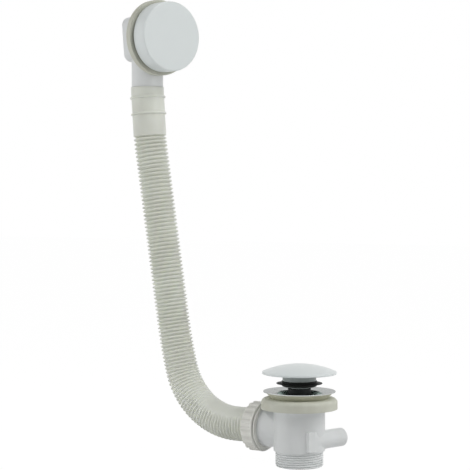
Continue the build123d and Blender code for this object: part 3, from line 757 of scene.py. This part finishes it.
def hose_tree() -> Nodes:
    """Makes a tree that turns a centre line into a corrugated hose with a tail, a cuff and a through bore.

    Returns:
        The tree's node adder.
    """
    floats = (*HOSE_LENGTHS, "Ridged Length", "Ridges", "Crowding")
    nodes, given = new_geometry_tree("corrugated_hose", floats, ("Stations", "Segments"))
    line = nodes.add("GeometryNodeResampleCurve", {"Curve": given["Geometry"], "Count": given["Stations"]})
    whole = nodes.add("GeometryNodeCurveLength", {"Curve": line})
    along = nodes.add("GeometryNodeSplineParameter").outputs["Length"]
    drop = nodes.math("SUBTRACT", whole, along)
    ridged = nodes.math("SUBTRACT", along, given["Tail Length"])
    share = nodes.math("DIVIDE", ridged, given["Ridged Length"])
    spread = nodes.math("SUBTRACT", 1.0, given["Crowding"])
    eased = nodes.math("MULTIPLY_ADD", share, spread, given["Crowding"])
    turn = nodes.math("MULTIPLY", nodes.math("MULTIPLY", share, eased), given["Ridges"])
    wave = nodes.math("ABSOLUTE", nodes.math("SINE", nodes.math("MULTIPLY", turn, math.pi)))
    ridge = nodes.math("POWER", wave, RIDGE_SHARPNESS)
    stretched = nodes.smooth(share, *DEEPENING)
    root = nodes.blend(stretched, given["Bend Root Radius"], given["Root Radius"])
    corrugated = nodes.blend(ridge, root, given["Crest Radius"])
    past_tail = nodes.math("GREATER_THAN", along, given["Tail Length"])
    lower = nodes.blend(past_tail, given["Tail Radius"], corrugated)
    rings = []
    for label in ("High Ring", "Low Ring"):
        away = nodes.math("SUBTRACT", drop, given[label])
        gap = nodes.math("DIVIDE", away, given["Ring Width"])
        square = nodes.math("POWER", nodes.math("ABSOLUTE", nodes.math("MULTIPLY", gap, 2.0)), 2.0)
        rings.append(nodes.math("SQRT", nodes.math("SUBTRACT", 1.0, square, clamp=True)))
    proud = nodes.math("MULTIPLY", nodes.math("ADD", *rings), given["Ring Proud"])
    cuff = nodes.math("ADD", given["Cuff Radius"], proud)
    cuff_start = nodes.math("SUBTRACT", given["Cuff Length"], CUFF_RUN_OUT)
    into_cuff = nodes.smooth(drop, given["Cuff Length"], cuff_start)
    skin = nodes.blend(into_cuff, lower, cuff)
    ends = nodes.add("GeometryNodeCurveEndpointSelection")
    radius = nodes.blend(ends, skin, given["Bore Radius"])
    section = nodes.add("GeometryNodeCurvePrimitiveCircle", {"Resolution": given["Segments"], "Radius": 1.0})
    groove = nodes.math("SUBTRACT", given["Crest Radius"], corrugated)
    packed = nodes.math("MULTIPLY", nodes.smooth(share, *OPENING), past_tail)
    marked = mark_inner_side(nodes, line, nodes.math("MULTIPLY", groove, packed))
    swept = nodes.add("GeometryNodeCurveToMesh", {"Curve": marked, "Profile Curve": section, "Scale": radius})
    outside = fill_inner_side(nodes, swept)
    coarse = nodes.add("GeometryNodeResampleCurve", {"Curve": line, "Count": BORE_STATIONS})
    tunnel = {"Curve": coarse, "Profile Curve": section, "Scale": given["Bore Radius"]}
    bore = nodes.add("GeometryNodeCurveToMesh", tunnel)
    inside = nodes.add("GeometryNodeFlipFaces", {"Mesh": bore})
    end_tree(nodes, given, nodes.joined(outside, inside))
    return nodes


HOSE_TREE = hose_tree()


def merged_copy(node: str, name: str) -> bpy.types.Object:
    """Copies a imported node's mesh into a new object, merges its loose triangles and keeps its normals.

    Args:
        node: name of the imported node.
        name: name of the copy.

    Returns:
        The copy, linked to the scene.
    """
    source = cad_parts[node].data
    shape = bmesh.new()
    shape.from_mesh(source)
    origin = shape.faces.layers.int.new("origin")
    for face in shape.faces:
        face[origin] = face.index
    bmesh.ops.remove_doubles(shape, verts=shape.verts, dist=TOUCHING)
    mesh = bpy.data.meshes.new(name)
    shape.to_mesh(mesh)
    shape.free()
    origins = [item.value for item in mesh.attributes["origin"].data]
    mesh.attributes.remove(mesh.attributes["origin"])
    corners = [corner for face in origins for corner in source.polygons[face].loop_indices]
    mesh.normals_split_custom_set([source.corner_normals[corner].vector for corner in corners])
    return linked(name, mesh)


def turned(name: str, outline: Sequence[tuple[float, float]], segments: int = 128) -> bpy.types.Object:
    """Turns a closed outline about Z into a mesh object.

    Args:
        name: name of the new piece.
        outline: corners as radius and height in millimetres, running up the outside and down the inside.
        segments: steps round the axis.

    Returns:
        The new piece, linked to the scene.
    """
    count = len(outline)
    points = []
    for step in range(segments):
        angle = 2 * math.pi * step / segments
        points += [(r * MM * math.cos(angle), r * MM * math.sin(angle), z * MM) for r, z in outline]
    faces = []
    for step in range(segments):
        here, there = step * count, (step + 1) % segments * count
        for corner in range(count):
            after = (corner + 1) % count
            faces.append((here + corner, there + corner, there + after, here + after))
    mesh = bpy.data.meshes.new(name)
    mesh.from_pydata(points, [], faces)
    mesh.shade_smooth()
    mesh.set_sharp_from_angle(angle=TURNED_SHARP_ANGLE)
    return linked(name, mesh)


@dataclass
class PipeThread:
    """A pipe thread on a spigot, in millimetres."""

    name: str
    major_radius: float
    root_radius: float
    length: float
    chamfer: float
    place: Matrix
    pitch: float = 2.309
    run_out: float = 2.6
    wall: float = 0.1
    overlap: float = 0.05
    segments: int = 144
    rows_per_mm: int = 8

    def build(self, finish: Finish) -> bpy.types.Object:
        """Grows the thread as a sleeve round the body's drawn-in spigot.

        Args:
            finish: looks of the piece.

        Returns:
            The new piece.
        """
        sizes = by_label(self, THREAD_LENGTHS) | {
            "Depth": self.major_radius - self.root_radius - self.wall,
            "Bore Radius": self.root_radius - self.overlap,
        }
        counts = {"Segments": self.segments, "Rows": int(self.length * self.rows_per_mm)}
        return grown(self.name, THREAD_TREE, sizes, counts, finish, self.place)


@dataclass
class WasteBody:
    """White body with its two threads, and the washers round its flange, in millimetres."""

    outlet_radius: float = 23.9
    outlet_root: float = 22.35
    outlet_top: float = -52.2
    outlet_end: float = -67.9
    outlet_chamfer: float = 1.2
    inlet_radius: float = 20.95
    inlet_root: float = 19.45
    inlet_near: float = 40.4
    inlet_mouth: float = 49.0
    inlet_chamfer: float = 0.8
    slack: float = 0.02

    def build(self) -> None:
        """Builds the body with room for its threads, then the threads, and dresses the washers."""
        finish = Finishes.WHITE_PLASTIC
        shell = merged_copy("waste_body", "waste_body_shell")
        self._make_room(shell.data)
        shell.data.materials.append(finish.material())
        seat(shell, Body.WASTE, replaces="waste_body")
        for thread in self._threads():
            seat(thread.build(Finishes.WHITE_THREAD), Body.WASTE)
        dress(body_gasket=Finishes.BEIGE_RUBBER, flange_gasket=Finishes.OLIVE_RUBBER)
        dress(screw_insert=Finishes.BRASS, fixing_screw=Finishes.STEEL)

    def _threads(self) -> tuple[PipeThread, PipeThread]:
        """Lays out the two threads, each starting at its open end.

        Returns:
            The outlet's thread and the inlet's.
        """
        outlet_place = Matrix.Translation((0, 0, self.outlet_end * MM))
        mouth = Matrix.Translation((-self.inlet_mouth * MM, 0, -INLET_DROP * MM))
        inlet_place = mouth @ Matrix.Rotation(math.pi / 2, 4, "Y")
        outlet = PipeThread(
            "outlet_thread", self.outlet_radius, self.outlet_root,
            self.outlet_top - self.outlet_end, self.outlet_chamfer, outlet_place,
        )
        inlet = PipeThread(
            "inlet_thread", self.inlet_radius, self.inlet_root,
            self.inlet_mouth - self.inlet_near, self.inlet_chamfer, inlet_place,
        )
        return outlet, inlet

    def _make_room(self, mesh: bpy.types.Mesh) -> None:
        """Draws the plain spigots of the copied body in to the roots of their threads.

        Args:
            mesh: copied mesh of the body, changed in place.
        """
        slack = self.slack * MM
        for vertex in mesh.vertices:
            x, y, z = vertex.co
            radius = math.hypot(x, y)
            grooved = self.outlet_root * MM < radius < self.outlet_radius * MM + slack
            if z < self.outlet_top * MM + slack and grooved:
                vertex.co.x *= self.outlet_root * MM / radius
                vertex.co.y *= self.outlet_root * MM / radius
            lift = z + INLET_DROP * MM
            spread = math.hypot(y, lift)
            threaded = self.inlet_root * MM < spread < self.inlet_radius * MM + slack
            if x < -self.inlet_near * MM + slack and threaded:
                vertex.co.y = y * self.inlet_root * MM / spread
                vertex.co.z = lift * self.inlet_root * MM / spread - INLET_DROP * MM


@dataclass(frozen=True)
class UnionSleeve:
    """A ribbed nut or a plain washer on the inlet's axis, in millimetres."""

    name: str
    near_face: float
    length: float
    core_radius: float
    rib_height: float
    near_round: float
    far_round: float
    bore_radius: float
    lip_start: float
    lip_radius: float
    rows: int
    collar: float = 1.6
    ribs: int = 20
    rib_segments: int = 14

    def build(self, finish: Finish) -> bpy.types.Object:
        """Grows the sleeve from its near face outwards.

        Args:
            finish: looks of the piece.

        Returns:
            The new piece.
        """
        counts = {"Segments": self.ribs * self.rib_segments, "Rows": self.rows, "Ribs": float(self.ribs)}
        start = Matrix.Translation((-self.near_face * MM, 0, -INLET_DROP * MM))
        place = start @ Matrix.Rotation(-math.pi / 2, 4, "Y")
        return grown(self.name, NUT_TREE, by_label(self, NUT_LENGTHS), counts, finish, place)


@dataclass
class UnionJoint:
    """Ribbed nut that holds the hose's tail, the washer that it faces, and the rings inside it."""

    nut: UnionSleeve = UnionSleeve(
        "union_nut_ribbed", near_face=41.0, length=15.0, core_radius=23.6, rib_height=1.4, near_round=0.6,
        far_round=2.2, bore_radius=21.05, lip_start=12.5, lip_radius=16.3, rows=60,
    )
    washer: UnionSleeve = UnionSleeve(
        "union_washer", near_face=38.6, length=1.9, core_radius=23.5, rib_height=0.0, near_round=0.4,
        far_round=0.4, bore_radius=19.75, lip_start=3.8, lip_radius=19.75, rows=12,
    )

    def build(self) -> None:
        """Grows the nut and the washer, and dresses the rings."""
        finish = Finishes.IVORY_PLASTIC
        seat(self.nut.build(finish), Body.WASTE, replaces="union_nut")
        seat(self.washer.build(finish), Body.WASTE)
        dress(union_friction_ring=Finishes.WHITE_PLASTIC, union_cone_seal=Finishes.BLACK_RUBBER)


@dataclass
class OverflowHose:
    """Corrugated hose from the waste's inlet to the overflow's neck, in millimetres and degrees."""

    tail_end: float = 29.0
    reach: float = 191.9
    top: float = 316.6
    elbow_radius: float = 72.0
    elbow_slope: float = 74.7
    sweep_radius: float = 489.0
    lean_slope: float = 80.8
    shoulder_radius: float = 150.0
    cuff_slope: float = 86.0
    cuff_run: float = 43.8
    neck_radius: float = 60.0
    top_run: float = 2.5
    root_radius: float = 14.4
    bend_root_radius: float = 16.1
    crest_radius: float = 17.5
    bore_radius: float = 13.2
    pitch: float = 3.9
    crowding: float = 1.095
    tail_radius: float = 16.0
    tail_length: float = 28.6
    cuff_radius: float = 17.4
    cuff_length: float = 53.3
    ring_proud: float = 1.5
    ring_width: float = 2.6
    high_ring: float = 11.2
    low_ring: float = 28.7
    arc_step: float = 0.7
    stations: int = 1300
    segments: int = 64

    def centre_line(self) -> bpy.types.Curve:
        """Draws the hose's route as one line of short steps.

        Returns:
            The line.
        """
        slopes = [math.radians(a) for a in (0, self.elbow_slope, self.lean_slope, self.cuff_slope, 90)]
        radii = (self.elbow_radius, self.sweep_radius, self.shoulder_radius, self.neck_radius)
        arcs = list(zip(radii, slopes, slopes[1:]))
        lean, cuff = slopes[2], slopes[3]
        lean_rise = self.top + INLET_DROP - self.top_run - self.cuff_run * math.sin(cuff)
        lean_rise -= sum(radius * (math.cos(a) - math.cos(b)) for radius, a, b in arcs)
        level_end = self.reach - lean_rise / math.tan(lean) - self.cuff_run * math.cos(cuff)
        level_end -= sum(radius * (math.sin(b) - math.sin(a)) for radius, a, b in arcs)
        bends = [(radius * (b - a), 1 / radius) for radius, a, b in arcs]
        runs = [(level_end - self.tail_end, 0.0), *bends[:2], (lean_rise / math.sin(lean), 0.0)]
        runs += [bends[2], (self.cuff_run, 0.0), bends[3], (self.top_run, 0.0)]
        points = [Vector((-self.tail_end, 0, -INLET_DROP))]
        slope = 0.0
        for length, bend in runs:
            steps = max(2, int(length / self.arc_step)) if bend else 1
            step = length / steps
            for _ in range(steps):
                middle = slope + bend * step / 2
                points.append(points[-1] + step * Vector((-math.cos(middle), 0, math.sin(middle))))
                slope += bend * step
        curve = bpy.data.curves.new("hose_line", "CURVE")
        curve.dimensions = "3D"
        spline = curve.splines.new("POLY")
        spline.points.add(len(points) - 1)
        for target, point in zip(spline.points, points):
            target.co = (*(point * MM), 1.0)
        return curve

    def build(self) -> None:
        """Grows the hose along its route."""
        line = self.centre_line()
        length = sum(
            (Vector(b.co[:3]) - Vector(a.co[:3])).length
            for a, b in zip(line.splines[0].points, line.splines[0].points[1:])
        )
        ridged = length / MM - self.tail_length - self.cuff_length
        sizes = by_label(self, HOSE_LENGTHS) | {"Ridged Length": ridged}
        counts = by_label(self, ("Crowding", "Stations", "Segments"))
        counts["Ridges"] = float(round(ridged / self.pitch))
        finish = Finishes.HOSE_PLASTIC
        hose = grown("corrugated_hose", HOSE_TREE, sizes, counts, finish, source=line)
        seat(hose, Body.WASTE, replaces="overflow_hose")


@dataclass
class OverflowHead:
    """Cap, seal, retainer and elbow at the top of the hose, each with its finish."""

    overflow_cap: Finish = Finishes.WHITE_GLOSS
    cap_o_ring: Finish = Finishes.BLACK_RUBBER
    overflow_retainer: Finish = Finishes.WHITE_PLASTIC
    overflow_seal: Finish = Finishes.BEIGE_RUBBER
    overflow_elbow: Finish = Finishes.WHITE_PLASTIC

    def build(self) -> None:
        """Dresses every piece of the head."""
        dress(**vars(self))


@dataclass
class PlugAndFlange:
    """Metal flange, clicker and plug, with the seal's sizes in millimetres."""

    seal_radius: float = 17.5
    seal_bore: float = 15.0
    seal_low: float = 12.5
    seal_top: float = 17.2
    skirt_low: float = 11.9
    skirt_bore: float = 15.85
    skirt_round: float = 0.7
    lip_radius: float = 22.9
    lip_low: float = 14.1
    lip_root: float = 1.0
    lip_tip: float = 0.5
    plug_travel: float = 9.0

    def build(self) -> None:
        """Dresses every piece of the plug and the flange, and turns the seal with its tapered lip."""
        dress(
            waste_flange=Finishes.CHROME,
            clicker_barrel=Finishes.BLACK_PLASTIC,
            clicker_latch_ring=Finishes.BLACK_PLASTIC,
            clicker_plunger=Finishes.GREY_PLASTIC,
            plug_carrier=Finishes.GREY_PLASTIC,
            plug_cap=Finishes.WHITE_GLOSS,
        )
        seal = turned("plug_lip_seal", self._seal_outline())
        seal.data.materials.append(Finishes.BLACK_RUBBER.material())
        seat(seal, Body.PLUG, replaces="plug_seal")
        self._build_spring()

    def _build_spring(self) -> None:
        """Copies the spring into a piece of its own, with a mesh of its own."""
        spring = merged_copy("clicker_spring", "plug_spring")
        spring.data.materials.append(Finishes.STEEL.material())
        seat(spring, Body.WASTE, replaces="clicker_spring")
        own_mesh(spring)

    def _seal_outline(self) -> list[tuple[float, float]]:
        """Draws the seal: a ring with a rounded skirt below and a thin lip round it.

        Returns:
            Corners as radius and height, up the outside and down the inside.
        """
        middle = (self.seal_radius - self.skirt_round, self.skirt_low + self.skirt_round)
        turns = [math.radians(a) for a in range(0, 91, 15)]
        corner = [
            (middle[0] + self.skirt_round * math.sin(t), middle[1] - self.skirt_round * math.cos(t))
            for t in turns
        ]
        lip = [
            (self.seal_radius, self.lip_low),
            (self.lip_radius, self.lip_low + (self.lip_root - self.lip_tip) / 2),
            (self.lip_radius, self.lip_low + (self.lip_root + self.lip_tip) / 2),
            (self.seal_radius, self.lip_low + self.lip_root),
        ]
        inside = [
            (self.seal_bore, self.seal_top),
            (self.seal_bore, self.seal_low),
            (self.skirt_bore, self.seal_low),
            (self.skirt_bore, self.skirt_low),
        ]
        return [*corner, *lip, (self.seal_radius, self.seal_top), *inside]


@dataclass(frozen=True)
class Lamp:
    """A square soft light, in millimetres and watts.

    Its place is given from the middle of the object: to the right in the view, ahead, and up.
    """

    name: str
    offset: tuple[float, float, float]
    size: float
    power: float
    in_gloss: bool = True


@dataclass
class Studio:
    """White surroundings, soft lights and the camera, in millimetres and degrees."""

    view_turn: float = 35.0
    view_depth: float = 1500.0
    view_side: float = 64.1
    view_height: float = 201.9
    view_dip: float = 1.516
    focal_pixels: float = 1511.0
    frame_pixels: float = 470.0
    sensor: float = 36.0
    view_limit: float = 100000.0
    ambient: float = 0.16
    floor_half: float = 6000.0
    floor_gap: float = 0.2
    floor_tone: float = 0.85
    floor_glow: float = 1.03
    floor_white: float = 0.96
    middle: tuple[float, float, float] = (-90.0, 0.0, 150.0)
    lamps: tuple[Lamp, ...] = (
        Lamp("right_high_light", (850, -430, 1150), 500, 5.7),
        Lamp("right_near_light", (650, -450, 330), 450, 1.85),
        Lamp("left_light", (-1200, -100, 250), 1300, 3.2),
        Lamp("left_high_light", (-800, -600, 900), 500, 2.9),
        Lamp("low_left_light", (-446, -172, -230), 300, 0.82, in_gloss=False),
        Lamp("low_right_light", (700, 0, -100), 300, 0.45, in_gloss=False),
    )

    def build(self) -> None:
        """Builds the world, the floor, the lights and the camera."""
        bpy.context.scene.view_settings.view_transform = "Standard"
        self._world()
        self._floor()
        for lamp in self.lamps:
            self._hang(lamp)
        self._camera()

    def _axes(self) -> tuple[Vector, Vector]:
        """Level directions of the view: to the right, and ahead."""
        turn = math.radians(self.view_turn)
        return Vector((math.cos(turn), math.sin(turn), 0)), Vector((-math.sin(turn), math.cos(turn), 0))

    def _seen_white(self, nodes: Nodes) -> Socket:
        """Picks the rays that see the plain white background: camera, glossy and transmitted ones.

        Args:
            nodes: node adder of the world or of a material.

        Returns:
            1 for such a ray and 0 for any other.
        """
        path = nodes.add("ShaderNodeLightPath").outputs
        direct = nodes.math("MAXIMUM", path["Is Camera Ray"], path["Is Glossy Ray"])
        return nodes.math("MAXIMUM", direct, path["Is Transmission Ray"])

    def _world(self) -> None:
        """Makes an even sky that lights softly and looks white as a background."""
        world = bpy.data.worlds.new("studio_white")
        nodes = emptied(world)
        light = nodes.add("ShaderNodeBackground", {"Color": PLAIN_WHITE, "Strength": self.ambient})
        backdrop = nodes.add("ShaderNodeBackground", {"Color": PLAIN_WHITE, "Strength": 1.0})
        share = self._seen_white(nodes)
        mixed = nodes.add("ShaderNodeMixShader", {0: share, 1: light, 2: backdrop})
        nodes.add("ShaderNodeOutputWorld", {"Surface": mixed})
        bpy.context.scene.world = world

    def _floor(self) -> None:
        """Lays a pale floor just below the object, which keeps a faint shadow."""
        half = self.floor_half * MM
        low = CAD_BOX[0][2] - self.floor_gap * MM
        corners = [(x * half, y * half, low) for x, y in ((-1, -1), (1, -1), (1, 1), (-1, 1))]
        mesh = bpy.data.meshes.new("floor")
        mesh.from_pydata(corners, [], [(0, 1, 2, 3)])
        floor = linked("floor", mesh)
        material = bpy.data.materials.new("pale_floor")
        nodes = emptied(material)
        matt = nodes.add("ShaderNodeBsdfDiffuse", {"Color": (*[self.floor_tone] * 3, 1.0)})
        glow = nodes.add("ShaderNodeEmission", {"Color": PLAIN_WHITE, "Strength": self.floor_glow})
        share = nodes.math("MULTIPLY", self._seen_white(nodes), self.floor_white)
        mixed = nodes.add("ShaderNodeMixShader", {0: share, 1: matt, 2: glow})
        nodes.add("ShaderNodeOutputMaterial", {"Surface": mixed})
        mesh.materials.append(material)

    def _hang(self, lamp: Lamp) -> None:
        """Hangs a light that faces the middle of the object.

        Args:
            lamp: the light's sizes, and whether shiny surfaces reflect it.
        """
        right, ahead = self._axes()
        light = bpy.data.lights.new(lamp.name, "AREA")
        light.size = lamp.size * MM
        light.energy = lamp.power
        holder = linked(lamp.name, light)
        away = lamp.offset[0] * right + lamp.offset[1] * ahead + Vector((0, 0, lamp.offset[2]))
        facing = (-away).to_track_quat("-Z", "Y").to_matrix().to_4x4()
        holder.matrix_world = Matrix.Translation((Vector(self.middle) + away) * MM) @ facing
        holder.visible_camera = False
        holder.visible_glossy = lamp.in_gloss

    def _camera(self) -> None:
        """Sets the camera at the photograph's place and angle."""
        right, ahead = self._axes()
        place = -self.view_depth * ahead - self.view_side * right + Vector((0, 0, self.view_height))
        lens = bpy.data.cameras.new("photo_view")
        lens.sensor_width = self.sensor
        lens.lens = self.focal_pixels / self.frame_pixels * self.sensor
        lens.clip_end = self.view_limit * MM
        camera = linked("photo_view", lens)
        tilt = Matrix.Rotation(math.radians(90 - self.view_dip), 4, "X")
        turn = Matrix.Rotation(math.radians(self.view_turn), 4, "Z")
        camera.matrix_world = Matrix.Translation(place * MM) @ turn @ tilt
        bpy.context.scene.camera = camera


def main() -> None:
    """Builds the sub-assemblies in order, then the studio."""
    logging.basicConfig(level=logging.INFO, format="%(message)s")
    for assembly in (WasteBody(), UnionJoint(), OverflowHose(), OverflowHead(), PlugAndFlange(), Studio()):
        assembly.build()
        LOG.info("%s is done", type(assembly).__name__)


if __name__ == "__main__":
    main()
